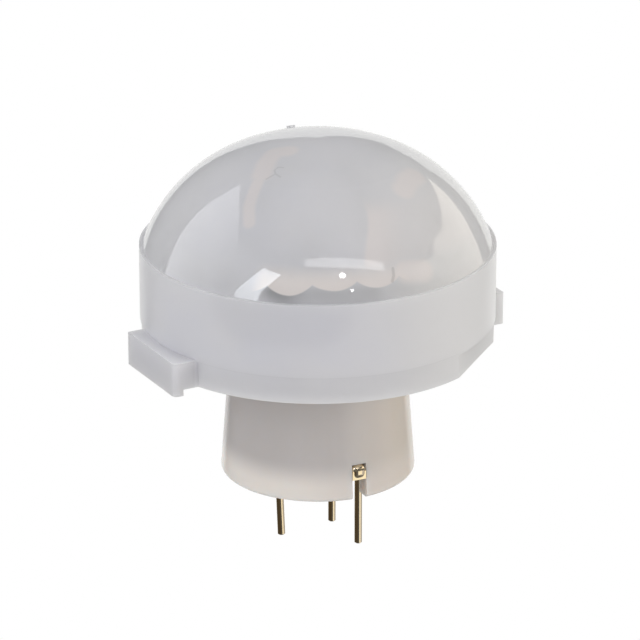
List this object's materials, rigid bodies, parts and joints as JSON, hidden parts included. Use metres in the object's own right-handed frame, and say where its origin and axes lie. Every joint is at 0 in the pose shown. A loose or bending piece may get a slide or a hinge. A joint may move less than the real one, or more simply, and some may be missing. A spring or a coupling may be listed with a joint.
{
  "type": "pir motion sensor",
  "caption": "Miniature passive infrared motion sensor: a milky domed multi-lens on a round holder, with a gold-leaded metal-can sensor in its flared neck.",
  "frame": {"origin": "centre of the neck's lower rim, in the plane that stands on the circuit board", "axes": "+Z from the board towards the dome, -Y towards the side that the picture shows, +X to its right"},
  "size_m": [0.022, 0.0208, 0.0252],
  "materials": {
    "lens_plastic": "milky translucent polyethylene, glossy",
    "holder_plastic": "warm grey moulded plastic, satin",
    "gold_plate": "gold plate, satin",
    "seal_glass": "dark green sealing glass",
    "can_steel": "nickel-plated steel",
    "filter_silicon": "coated silicon, dark mirror",
    "black_adhesive": "black epoxy",
    "block_plastic": "ivory moulded resin",
    "solder": "bright solder",
    "chip_silicon": "bare silicon die",
    "black_resin": "black potting resin",
    "capacitor_ceramic": "tan ceramic with tinned ends",
    "element_ceramic": "polished lithium tantalate",
    "silver_adhesive": "silver-filled adhesive",
    "electrode_metal": "thin nickel-chrome film"
  },
  "bodies": {
    "root": {"lens": "lens_plastic", "holder": "holder_plastic", "header": "gold_plate", "supply_lead": "gold_plate", "output_lead": "gold_plate", "ground_lead": "gold_plate", "supply_lead_glass": "seal_glass", "output_lead_glass": "seal_glass", "can": "can_steel", "infrared_filter": "filter_silicon", "filter_adhesive": "black_adhesive", "circuit_block": "block_plastic", "lead_solder": "solder", "detector_chip": "chip_silicon", "chip_resin": "black_resin", "supply_capacitor": "capacitor_ceramic", "filter_capacitor": "capacitor_ceramic", "pyro_element": "element_ceramic", "element_adhesive": "silver_adhesive", "element_electrodes": "electrode_metal"}
  },
  "joints": []
}
